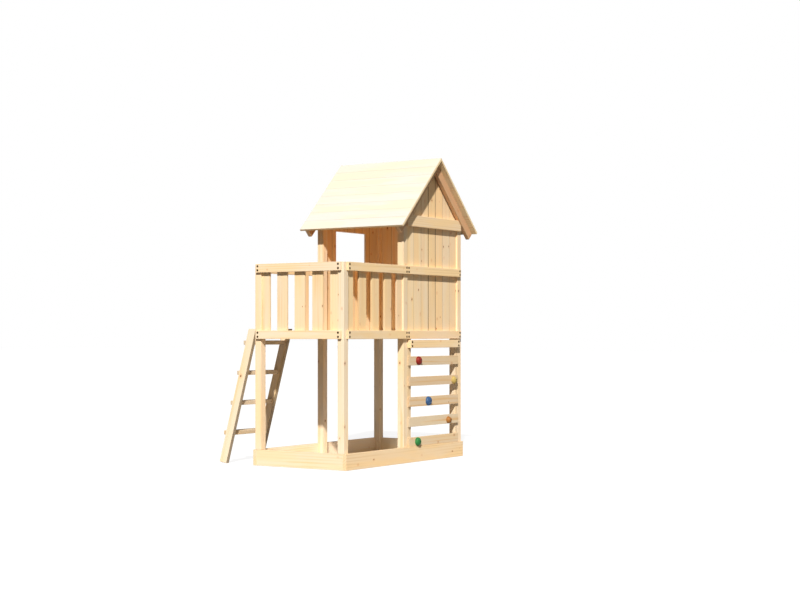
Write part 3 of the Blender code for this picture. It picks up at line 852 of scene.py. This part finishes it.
def lay_grain(piece: Object, plan: Timber, number: int) -> None:
    """Store the grain's coordinates and each board's own values on a piece.

    Args:
        piece: the dressed mesh.
        plan: how it is dressed.
        number: the piece's number, which sets its boards' shifts.
    """
    mesh = piece.data
    low, high = plan.edges(mesh) if plan.across is not None else (0.0, 1.0)
    half = (high - low) / plan.boards / 2
    back = reach_along(mesh, plan.face)[1] - PANEL_THICK - RAIL_SLACK if plan.rail_along is not None else 0.0
    for name in STORED:
        mesh.attributes.new(name, "FLOAT_VECTOR", "CORNER")
    grain, board, painted_highlight_and_pink, seam = (mesh.attributes[name].data for name in STORED)
    for polygon in mesh.polygons:
        place_on = plan.board_of(polygon.center, low, high)
        seed = number * PIECE_SEEDS + place_on
        on_rail = plan.rail_along is not None and polygon.center.dot(plan.face) < back
        if on_rail:
            seed = number * PIECE_SEEDS + RAIL_SEEDS + round(polygon.center.z * 2)
        ways = grain_frame(plan.rail_along if on_rail else plan.along.normalized())
        shift = Vector([scatter(seed, channel) * far for channel, far in enumerate(SHIFT, 1)])
        end_on = 1.0 if abs(polygon.normal.dot(ways[0])) > END_GRAIN else 0.0
        drift = between(plan.warmth, scatter(seed, 4))
        tone = plan.tone_of(polygon.normal, seed)
        facing = polygon.normal.dot(plan.face) if plan.face is not None else 0.0
        # The painted highlight share (pale), on the panel's seamed face only.
        pale = between(plan.painted_highlight, place_on / plan.boards) if facing > SQUARELY else 0.0
        # The seam darkness at the board's two edges: dark joints and painted shade.
        seamed = abs(facing) > SEAMED and not on_rail
        sides = (plan.joint_at(place_on), plan.joint_at(place_on + 1)) if seamed else (0.0, 0.0)
        middle = low + (2 * place_on + 1) * half
        for corner in polygon.loop_indices:
            place = mesh.vertices[mesh.loops[corner].vertex_index].co
            across = (place.dot(plan.across) - middle) / half if plan.across is not None else 0.0
            grain[corner].vector = Vector([place.dot(way) for way in ways]) + shift
            board[corner].vector = Vector((drift, tone, end_on))
            painted_highlight_and_pink[corner].vector = Vector((pale, plan.rosy * scatter(seed, 6), 0.0))
            seam[corner].vector = Vector((across, *sides))


def level_shading(piece: Object) -> None:
    """Shade a piece so that flat faces look flat and the rounding between them looks round.

    Args:
        piece: the mesh.
    """
    make_active(piece)
    bpy.ops.object.shade_smooth_by_angle(angle=SHARP_ANGLE)
    modify(piece, "Flats", "WEIGHTED_NORMAL", mode="FACE_AREA", weight=FLAT_WEIGHT, keep_sharp=True)


class Dresser:
    """Turns solids into finished pieces of timber."""

    def __init__(self, nodes: Dict[str, Object], palette: Palette) -> None:
        """Keep the solids and the finishes."""
        self.nodes = nodes
        self.palette = palette
        self.count = 0

    def dress(self, plan: Timber) -> None:
        """Make the finished piece that stands for one solid.

        Args:
            plan: how it is dressed.
        """
        self.count += 1
        piece = clean_copy(self.nodes[plan.node], "timber_" + plan.node)
        if plan.radius > 0:
            round_edges(piece, plan.radius)
        if plan.face is not None:
            shape_seams(piece, plan)
            part_boards(piece, plan)
        lay_grain(piece, plan, self.count)
        piece.data.materials.append(self.palette.timber[plan.finish])
        level_shading(piece)
        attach(piece, "root")
        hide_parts(plan.node)
        LOG.info("%s: %d faces", piece.name, len(piece.data.polygons))

    def beam(self, node: str, along: Axis, radius: float, **values: object) -> None:
        """Dress one beam of the frame, with any other values of its Timber."""
        self.dress(Timber(node, Finish.FRAME, along.value, radius, **values))

    def board(self, node: str, along: Axis, radius: float, **values: object) -> None:
        """Dress one single board, with any other values of its Timber."""
        self.dress(Timber(node, Finish.BOARDS, along.value, radius, **values))

    def panel(self, node: str, along: Axis, across: Axis, boards: int, edges: Span, **values: object) -> None:
        """Dress a panel of boards, whose edges stay sharp.

        Args:
            node: the solid's name.
            along, across: the way its grain runs, and the way its boards follow each other.
            boards: how many boards it has.
            edges: where the first begins and the last ends, counted from the base frame's corner.
            values: any other values of its Timber.
        """
        start = CORNER.dot(across.value)
        span = (edges[0] + start, edges[1] + start)
        self.board(node, along, 0.0, across=across.value, boards=boards, span=span, **values)


@dataclass
class SandFrame:
    """The four boards on the ground."""

    radius: float = 0.003

    def build(self, dresser: Dresser) -> None:
        """Dress the base boards.

        Args:
            dresser: what dresses them.
        """
        for node in ("front", "back"):
            dresser.beam("base_board_" + node, Axis.X, self.radius, warmth=(0.0, 0.3))
        dresser.beam("base_board_left", Axis.Y, self.radius, warmth=(0.0, 0.3), tone=(0.97, 0.99))
        dresser.beam("base_board_right", Axis.Y, self.radius, warmth=(0.7, 1.0), tone=(0.91, 0.93))


@dataclass
class Stilts:
    """The six posts."""

    radius: float = 0.003

    def build(self, dresser: Dresser) -> None:
        """Dress the posts.

        Args:
            dresser: what dresses them.
        """
        for row in ("front", "middle", "back"):
            for side in ("left", "right"):
                tone = (0.92, 0.94) if (row, side) == ("middle", "right") else (0.96, 1.02)
                dresser.beam("post_%s_%s" % (row, side), Axis.Z, self.radius, warmth=(0.0, 0.4), tone=tone)


@dataclass
class Balustrade:
    """Platform rails, hand rails, the gable's tie beam and the slats."""

    rail_radius: float = 0.003
    slat_radius: float = 0.002
    rails_x: Tuple[str, ...] = ("platform_rail_front", "hand_rail_front")
    rails_y: Tuple[str, ...] = ("platform_rail_balcony_right", "platform_rail_house_right", "platform_rail_left",
                                "hand_rail_right", "hand_rail_left", "middle_rail_right", "tie_beam_right")
    slats: Tuple[Tuple[str, Tuple[int, ...]], ...] = (("front", (1, 2, 3, 4, 5)), ("right", (1, 2, 3, 4, 5)),
                                                      ("left", (4, 5)))

    def build(self, dresser: Dresser) -> None:
        """Dress the rails and the slats.

        Args:
            dresser: what dresses them.
        """
        for name in self.rails_x:
            dresser.beam(name, Axis.X, self.rail_radius, warmth=(0.0, 0.4))
        for name in self.rails_y:
            dresser.beam(name, Axis.Y, self.rail_radius, warmth=(0.6, 1.0))
        for side, numbers in self.slats:
            # Side slats take painted shade on their faces that look to the front or back.
            warmth, rim = ((0.0, 0.7), 1.0) if side == "front" else ((0.4, 1.0), 0.86)
            for number in numbers:
                dresser.board("slat_%s_%d" % (side, number), Axis.Z, self.slat_radius, warmth=warmth,
                              tone=(0.92, 1.01), rosy=0.35, rim=rim)


@dataclass
class House:
    """The platform's floor, the three walls, the rafters and the roof."""

    wall_boards: int = 7
    floor_boards: int = 15
    roof_boards: int = 8
    side_edges: Span = (1.051, 1.970)
    back_edges: Span = (0.095, 0.975)
    floor_edges: Span = (0.033, 2.007)
    # Seams 3 and 4 stand open; their darkness is partly painted shade in the gaps.
    open_seams: Tuple[Tuple[int, float, float, float], ...] = ((3, 0.0042, 0.011, 1.0), (4, 0.0030, 0.008, 0.80))
    pitch: float = math.radians(45.0)
    rafter_radius: float = 0.003

    def build(self, dresser: Dresser) -> None:
        """Dress the house.

        Args:
            dresser: what dresses its pieces.
        """
        dresser.panel("wall_right", Axis.Z, Axis.Y, self.wall_boards, self.side_edges, warmth=(0.2, 1.0),
                      tone=(0.97, 1.02), rosy=0.3, face=Side.RIGHT.value, open_seams=self.open_seams)
        # The left wall's lower tone is painted shade for the inside of the house.
        dresser.panel("wall_left", Axis.Z, Axis.Y, self.wall_boards, self.side_edges, warmth=(0.0, 0.4),
                      tone=(0.89, 0.94), face=Side.RIGHT.value, rail_along=Axis.Y.value)
        dresser.panel("wall_back", Axis.Z, Axis.X, self.wall_boards, self.back_edges, warmth=(0.3, 1.0),
                      face=Side.FRONT.value, rail_along=Axis.X.value)
        dresser.panel("platform_floor", Axis.X, Axis.Y, self.floor_boards, self.floor_edges, warmth=(0.3, 0.9),
                      face=Axis.Z.value, joint=0.5)
        for slope, side in (("front", Side.FRONT.value), ("back", Side.BACK.value)):
            down = side * math.cos(self.pitch) - Axis.Z.value * math.sin(self.pitch)
            out = side * math.sin(self.pitch) + Axis.Z.value * math.cos(self.pitch)
            for hand in ("left", "right"):
                dresser.dress(Timber("rafter_%s_%s" % (hand, slope), Finish.FRAME, down, self.rafter_radius,
                                     warmth=(0.5, 1.0), tone=(0.68, 0.72), rosy=6.0))
            # The roof boards' top faces take the painted highlight.
            dresser.dress(Timber("roof_boards_" + slope, Finish.ROOF, Axis.X.value, 0.0, down, self.roof_boards,
                                 warmth=(0.3, 0.8), tone=(0.98, 1.0), face=out, painted_highlight=(0.84, 1.0), joint=0.05,
                                 seam=(0.0012, 0.0018)))


@dataclass
class Ladder:
    """Two stringers and four treads."""

    lean: float = math.radians(74.3)
    treads: int = 4
    radius: float = 0.003

    def build(self, dresser: Dresser) -> None:
        """Dress the ladder.

        Args:
            dresser: what dresses it.
        """
        up = Vector((math.cos(self.lean), 0.0, math.sin(self.lean)))
        for name in ("near", "far"):
            # The stringers' faces that look a little down take painted shade.
            dresser.dress(Timber("ladder_stringer_" + name, Finish.FRAME, up, self.radius, under=0.52))
        # The treads' low tone is painted shade, for the shadow of the near stringer and post on them.
        for number in range(1, self.treads + 1):
            dresser.beam("ladder_tread_%d" % number, Axis.Y, self.radius, tone=(0.76, 0.80))


@dataclass
class ClimbingWall:
    """Battens, the top rail and five boards."""

    boards: int = 5
    radius: float = 0.003
    board_radius: float = 0.002

    def build(self, dresser: Dresser) -> None:
        """Dress the climbing wall's timber.

        Args:
            dresser: what dresses it.
        """
        for name in ("front", "back"):
            dresser.beam("climbing_batten_" + name, Axis.Z, self.radius, warmth=(0.0, 0.4), tone=(0.84, 0.88))
        dresser.beam("climbing_top_rail", Axis.Y, self.radius, warmth=(0.6, 1.0))
        for number in range(1, self.boards + 1):
            # The climbing boards take painted shade on their end faces, which look to the front or back.
            dresser.board("climbing_board_%d" % number, Axis.Y, self.board_radius, warmth=(0.0, 0.6),
                          tone=(0.78, 0.83), rosy=0.30, rim=0.84)


@dataclass(frozen=True)
class Head:
    """A round screw or bolt head, with rings of the widths rim and drive, in radii, round its middle and its drive.

    The middle stands up by rise, and the drive is as deep as sink.
    """

    corners: int
    radius: float
    thick: float
    rim: float
    rise: float
    drive: float
    sink: float

    def model(self) -> Object:
        """Model one head at the origin, looking up.

        Returns:
            The head.
        """
        deselect_all()
        bpy.ops.mesh.primitive_cylinder_add(vertices=self.corners, radius=self.radius, depth=self.thick,
                                            location=(0.0, 0.0, self.thick / 2))
        head = bpy.context.object
        unselect_mesh("FACE")
        settle(head)
        for polygon in head.data.polygons:
            polygon.select = polygon.normal.z > SQUARELY
        with editing():
            bpy.ops.mesh.inset(thickness=self.radius * self.rim)
            bpy.ops.transform.translate(value=(0.0, 0.0, self.rise))
            bpy.ops.mesh.inset(thickness=self.radius * self.drive)
            bpy.ops.mesh.extrude_region_move(TRANSFORM_OT_translate={"value": (0.0, 0.0, -self.sink)})
        return head

    def build(self, places: Sequence[Tuple[Vector, Side]], name: str, material: Material) -> None:
        """Copy the head to each of its places, as one piece.

        Args:
            places: where each copy sits and the way it looks.
            name: name of the joined piece.
            material: its finish.
        """
        pattern = self.model()
        copies: List[Object] = []
        for place, side in places:
            copies.append(add_object(name, pattern.data.copy()))
            turn = side.value.to_track_quat("Z", "Y")
            copies[-1].data.transform(Matrix.Translation(place) @ turn.to_matrix().to_4x4())
        bpy.data.objects.remove(pattern, do_unlink=True)
        make_active(copies[0])
        for copy in copies:
            copy.select_set(True)
        bpy.ops.object.join()
        piece = bpy.context.object
        name_and_coat(piece, name, material)
        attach(piece, "root")
        LOG.info("%s: %d copies", name, len(copies))


@dataclass(frozen=True)
class GripPlan:
    """One grip: where it sits, counted from the base frame's corner, its half sizes and its turn in degrees."""

    colour: str
    along: float
    height: float
    half_width: float
    half_height: float
    turn: float


@dataclass
class Grips:
    """Five rounded, slightly dented grips with a pushed-in finger ledge, each held by a bolt in its middle."""

    face_x: float = 1.065
    depth: float = 0.040
    radius_x: float = 0.032
    dent: float = 0.0030
    dent_size: float = 0.030
    ledge_way: Point = (0.55, 0.0, 0.84)
    ledge_reach: float = 0.97
    ledge_push: Point = (-0.06, 0.0, -0.08)
    ledge_spread: float = 0.6
    seat: float = 0.028
    seat_radius: float = 0.0110
    seat_cut: float = 0.06
    smooth: float = math.radians(40.0)
    bolt: Head = Head(24, 0.0082, 0.0065, 0.12, 0.0007, 0.34, 0.0045)
    plans: Tuple[GripPlan, ...] = (
        GripPlan("red", 1.207, 0.976, 0.040, 0.044, 12.0),
        GripPlan("yellow", 1.862, 0.773, 0.040, 0.041, -15.0),
        GripPlan("blue", 1.383, 0.580, 0.044, 0.047, 20.0),
        GripPlan("orange", 1.757, 0.379, 0.037, 0.036, -10.0),
        GripPlan("green", 1.190, 0.196, 0.040, 0.043, 8.0),
    )

    def spot(self, plan: GripPlan, out: float) -> Vector:
        """The point on a grip's axis that lies so far out from the boards."""
        return Vector((self.face_x + out, plan.along, plan.height)) + CORNER

    def lump(self, plan: GripPlan) -> Object:
        """A rounded lump with shallow dents, a finger ledge on top and a flat back.

        Args:
            plan: where the grip sits and how large it is.

        Returns:
            The lump, in its place.
        """
        deselect_all()
        bpy.ops.mesh.primitive_ico_sphere_add(subdivisions=4, radius=1.0, location=(0.0, 0.0, 0.0))
        lump = bpy.context.object
        unselect_mesh("VERT")
        ledge = Vector(self.ledge_way).normalized()
        for vertex in lump.data.vertices:
            vertex.select = vertex.co.normalized().dot(ledge) > self.ledge_reach
        with editing():
            bpy.ops.transform.translate(value=self.ledge_push, use_proportional_edit=True,
                                        proportional_edit_falloff="SMOOTH", proportional_size=self.ledge_spread)
        lump.scale = (self.radius_x, plan.half_width, plan.half_height)
        lump.rotation_euler = Euler((math.radians(plan.turn), 0.0, 0.0))
        lump.location = self.spot(plan, self.depth - self.radius_x)
        settle(lump)
        clouds = bpy.data.textures.new("grip_dents", "CLOUDS")
        clouds.noise_scale = self.dent_size
        modify(lump, "Dents", "DISPLACE", texture=clouds, texture_coords="LOCAL", mid_level=1.0, strength=self.dent)
        with editing():
            bpy.ops.mesh.select_all(action="SELECT")
            bpy.ops.mesh.bisect(plane_co=(self.face_x + CORNER.x, 0.0, 0.0), plane_no=Axis.X.value, use_fill=True,
                                clear_inner=True)
        return lump

    def cut_seat(self, lump: Object, plan: GripPlan) -> None:
        """Sink the seat of the bolt's head into a grip's front.

        Args:
            lump: the grip, in its place.
            plan: where it sits.
        """
        deselect_all()
        bpy.ops.mesh.primitive_cylinder_add(vertices=28, radius=self.seat_radius, depth=self.seat_cut,
                                            location=self.spot(plan, self.seat + self.seat_cut / 2),
                                            rotation=(0.0, math.pi / 2, 0.0))
        cutter = bpy.context.object
        modify(lump, "Seat", "BOOLEAN", operation="DIFFERENCE", object=cutter)
        bpy.data.objects.remove(cutter, do_unlink=True)

    def build(self, palette: Palette) -> None:
        """Make the grips and their bolt heads.

        Args:
            palette: the finishes.
        """
        for plan in self.plans:
            piece = self.lump(plan)
            self.cut_seat(piece, plan)
            name_and_coat(piece, "grip_" + plan.colour, palette.plastic[plan.colour])
            make_active(piece)
            bpy.ops.object.shade_smooth_by_angle(angle=self.smooth)
            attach(piece, "root")
            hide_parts("climbing_grip_" + plan.colour)
            LOG.info("%s: %d faces", piece.name, len(piece.data.polygons))
        places = [(self.spot(plan, self.seat), Side.RIGHT) for plan in self.plans]
        self.bolt.build(places, "grip_bolts", palette.bolt)


@dataclass
class Screws:
    """Dark screw heads over the rails' recesses, in pairs; they are wider than the recesses, and their dark colour
    is partly painted shade of the recesses.
    """

    # The heads are drawn wider than real ones so that their dark colour also covers the shade of the recesses.
    head: Head = Head(20, 0.0108, 0.0012, 0.16, 0.0006, 0.42, 0.0012)
    spread: float = 0.0190
    rail_heights: Span = (1.2265, 1.847)
    climb_height: float = 1.137
    front_y: float = -0.025
    back_y: float = 2.065
    left_x: float = 0.0
    right_x: float = 1.070
    climb_x: float = 1.085
    cross_x: Span = (0.072, 0.998)
    side_y: Tuple[float, ...] = (0.060, 1.002, 1.038, 1.981)
    climb_y: Span = (1.076, 1.932)

    def spots(self) -> List[Tuple[Point, Side]]:
        """Every screw's place and the way it looks.

        Returns:
            The places, counted from the base frame's corner, each with its side.
        """
        found: List[Tuple[Point, Side]] = []
        pair = (-self.spread, self.spread)
        for z in [height + rise for height in self.rail_heights for rise in pair]:
            found += [((x, self.front_y, z), Side.FRONT) for x in self.cross_x]
            found += [((x, self.back_y, z), Side.BACK) for x in self.cross_x]
            found += [((self.left_x, y, z), Side.LEFT) for y in self.side_y]
            found += [((self.right_x, y, z), Side.RIGHT) for y in self.side_y]
        for z in [self.climb_height + rise for rise in pair]:
            found += [((self.climb_x, y, z), Side.RIGHT) for y in self.climb_y]
        return found

    def build(self, palette: Palette) -> None:
        """Copy the head to every spot, one piece for each side.

        Args:
            palette: the finishes.
        """
        for side in Side:
            places = [(Vector(place) + CORNER, side) for place, looks in self.spots() if looks is side]
            self.head.build(places, "screws_" + side.name.lower(), palette.steel)


@dataclass(frozen=True)
class Lamp:
    """A square lamp that the camera doesn't see, placed from the base frame's corner and turned in degrees."""

    name: str
    size: float
    energy: float
    colour: Point
    place: Point
    turn: Point

    def build(self) -> None:
        """Hang the lamp."""
        lamp = add_object(self.name, bpy.data.lights.new(self.name, "AREA"), shape="SQUARE", size=self.size,
                          energy=self.energy, color=self.colour)
        lamp.location = Vector(self.place) + CORNER
        lamp.rotation_euler = Euler(tuple(math.radians(angle) for angle in self.turn))
        lamp.visible_camera = False


@dataclass
class Studio:
    """Camera, sun, lamps, soft fill and the pale floor.

    The lamps are the warm light that bounces about in the house, and a dim one on its right side. The floor gives
    back one light inside the base frame, which frame_scale and frame_shift turn to -1 to 1, and others near and far.
    """

    camera_place: Point = (8.63087, -12.20799, 1.2354)
    camera_turn: float = math.radians(33.398)
    lens: float = 68.21
    sensor: float = 36.0
    shift_y: float = 0.0422
    clip_end: float = 300.0
    sun_towards: Point = (0.575, -1.0, 0.865)
    sun_place: Point = (4.0, -6.0, 6.0)
    sun_angle: float = math.radians(1.6)
    sun_strength: float = 5.0
    sun_colour: Point = (1.0, 0.97, 0.91)
    lamps: Tuple[Lamp, ...] = (
        Lamp("room_glow", 0.8, 1.05, (1.0, 0.47, 0.23), (0.535, 1.32, 1.78), (150.0, 0.0, 0.0)),
        Lamp("side_glow", 1.6, 4.2, (1.0, 0.86, 0.70), (3.6, 1.5, 4.2), (0.0, 56.0, 0.0)),
    )
    fill: Colour = (0.170, 0.154, 0.138, 1.0)
    floor_seen: Colour = (0.90, 0.90, 0.90, 1.0)
    floor_matt: Colour = (0.16, 0.16, 0.16, 1.0)
    framed_bounce: Colour = (0.96, 0.95, 0.96, 1.0)
    near_bounce: Colour = (0.40, 0.385, 0.365, 1.0)
    far_bounce: Colour = (0.12, 0.12, 0.12, 1.0)
    bounce_ends: Span = (1.8, 3.5)
    frame_scale: Point = (2.0, 1.02, 1.0)
    frame_shift: Point = (-0.37, 0.07, 0.0)
    floor_size: float = 160.0
    floor_drop: float = 0.0002

    def camera(self) -> None:
        """Stand the camera where the photograph was taken from."""
        camera = add_object("camera", bpy.data.cameras.new("camera"), lens=self.lens, sensor_width=self.sensor,
                            shift_y=self.shift_y, clip_end=self.clip_end)
        camera.location = self.camera_place
        camera.rotation_euler = Euler((math.pi / 2, 0.0, self.camera_turn))
        bpy.context.scene.camera = camera

    def sun(self) -> None:
        """A small bright light from nearly behind the camera."""
        sun = add_object("sun", bpy.data.lights.new("sun", "SUN"), energy=self.sun_strength, color=self.sun_colour,
                         angle=self.sun_angle)
        sun.rotation_euler = Vector(self.sun_towards).to_track_quat("Z", "Y").to_euler()
        sun.location = self.sun_place

    def end_tree(self, graph: NodeGraph, output: str, lighting: Socket, seen: Socket) -> None:
        """End a tree in one shader for the light on the object and one for the rays that look at it.

        These rays are straight ones, mirrored ones and those that pass through glass.

        Args:
            graph: where the nodes go.
            output: Blender's name of the output node.
            lighting, seen: the two shaders.
        """
        paths = graph.add("ShaderNodeLightPath").outputs
        looking = graph.math("MAXIMUM", paths["Is Camera Ray"], paths["Is Glossy Ray"])
        looking = graph.math("MAXIMUM", looking, paths["Is Transmission Ray"])
        mixer = graph.add("ShaderNodeMixShader", {0: looking, 1: lighting, 2: seen})
        graph.add(output, {"Surface": mixer.outputs[0]})

    def surroundings(self) -> None:
        """White behind the object, and a soft warm fill on it."""
        world = bpy.data.worlds.new("studio")
        world.use_nodes = True
        world.node_tree.nodes.clear()
        bpy.context.scene.world = world
        graph = NodeGraph(world.node_tree)
        fill, white = (graph.plain("ShaderNodeBackground", colour) for colour in (self.fill, WHITE))
        self.end_tree(graph, "ShaderNodeOutputWorld", fill, white)

    def floor_material(self) -> Material:
        """A pale floor that nearly melts into the background and keeps a faint shadow.

        Returns:
            The finished material.
        """
        material, graph, _ = new_material("StudioFloor")
        material.node_tree.nodes.clear()
        both = graph.add("ShaderNodeAddShader", {0: graph.plain("ShaderNodeEmission", self.floor_seen),
                                                 1: graph.plain("ShaderNodeBsdfDiffuse", self.floor_matt)})
        place = graph.place()
        reach = graph.add("ShaderNodeVectorMath", {0: place}, operation="LENGTH").outputs["Value"]
        away = graph.ramp(reach, *self.bounce_ends)
        framed = graph.parts(graph.stretch(place, self.frame_scale, self.frame_shift))
        edge = graph.math("MAXIMUM", graph.math("ABSOLUTE", framed[0]), graph.math("ABSOLUTE", framed[1]))
        outside = graph.mix(away, self.near_bounce, self.far_bounce)
        colour = graph.mix(graph.ramp(edge, 0.96, 1.0), self.framed_bounce, outside)
        bounce = graph.plain("ShaderNodeBsdfDiffuse", colour)
        self.end_tree(graph, "ShaderNodeOutputMaterial", bounce, both.outputs[0])
        return material

    def floor(self) -> None:
        """A wide plane under the object."""
        deselect_all()
        bpy.ops.mesh.primitive_plane_add(size=self.floor_size, location=(0.0, 0.0, -self.floor_drop))
        floor = bpy.context.object
        settle(floor)
        floor.name = "studio_floor"
        floor.data.materials.append(self.floor_material())

    def build(self) -> None:
        """Set up the whole studio."""
        self.camera()
        self.sun()
        for lamp in self.lamps:
            lamp.build()
        self.surroundings()
        self.floor()
        bpy.context.scene.view_settings.view_transform = "Standard"
        LOG.info("studio ready")


def main() -> None:
    """Load the frame, dress it and set up the studio."""
    logging.basicConfig(level=logging.INFO, format="%(name)s: %(message)s")
    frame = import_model()
    deselect_all()
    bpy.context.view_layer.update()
    palette = Palette().build()
    dresser = Dresser(frame["nodes"], palette)
    for part in (SandFrame(), Stilts(), Balustrade(), House(), Ladder(), ClimbingWall()):
        part.build(dresser)
    for fitting in (Grips(), Screws()):
        fitting.build(palette)
    Studio().build()


if __name__ == "__main__":
    main()
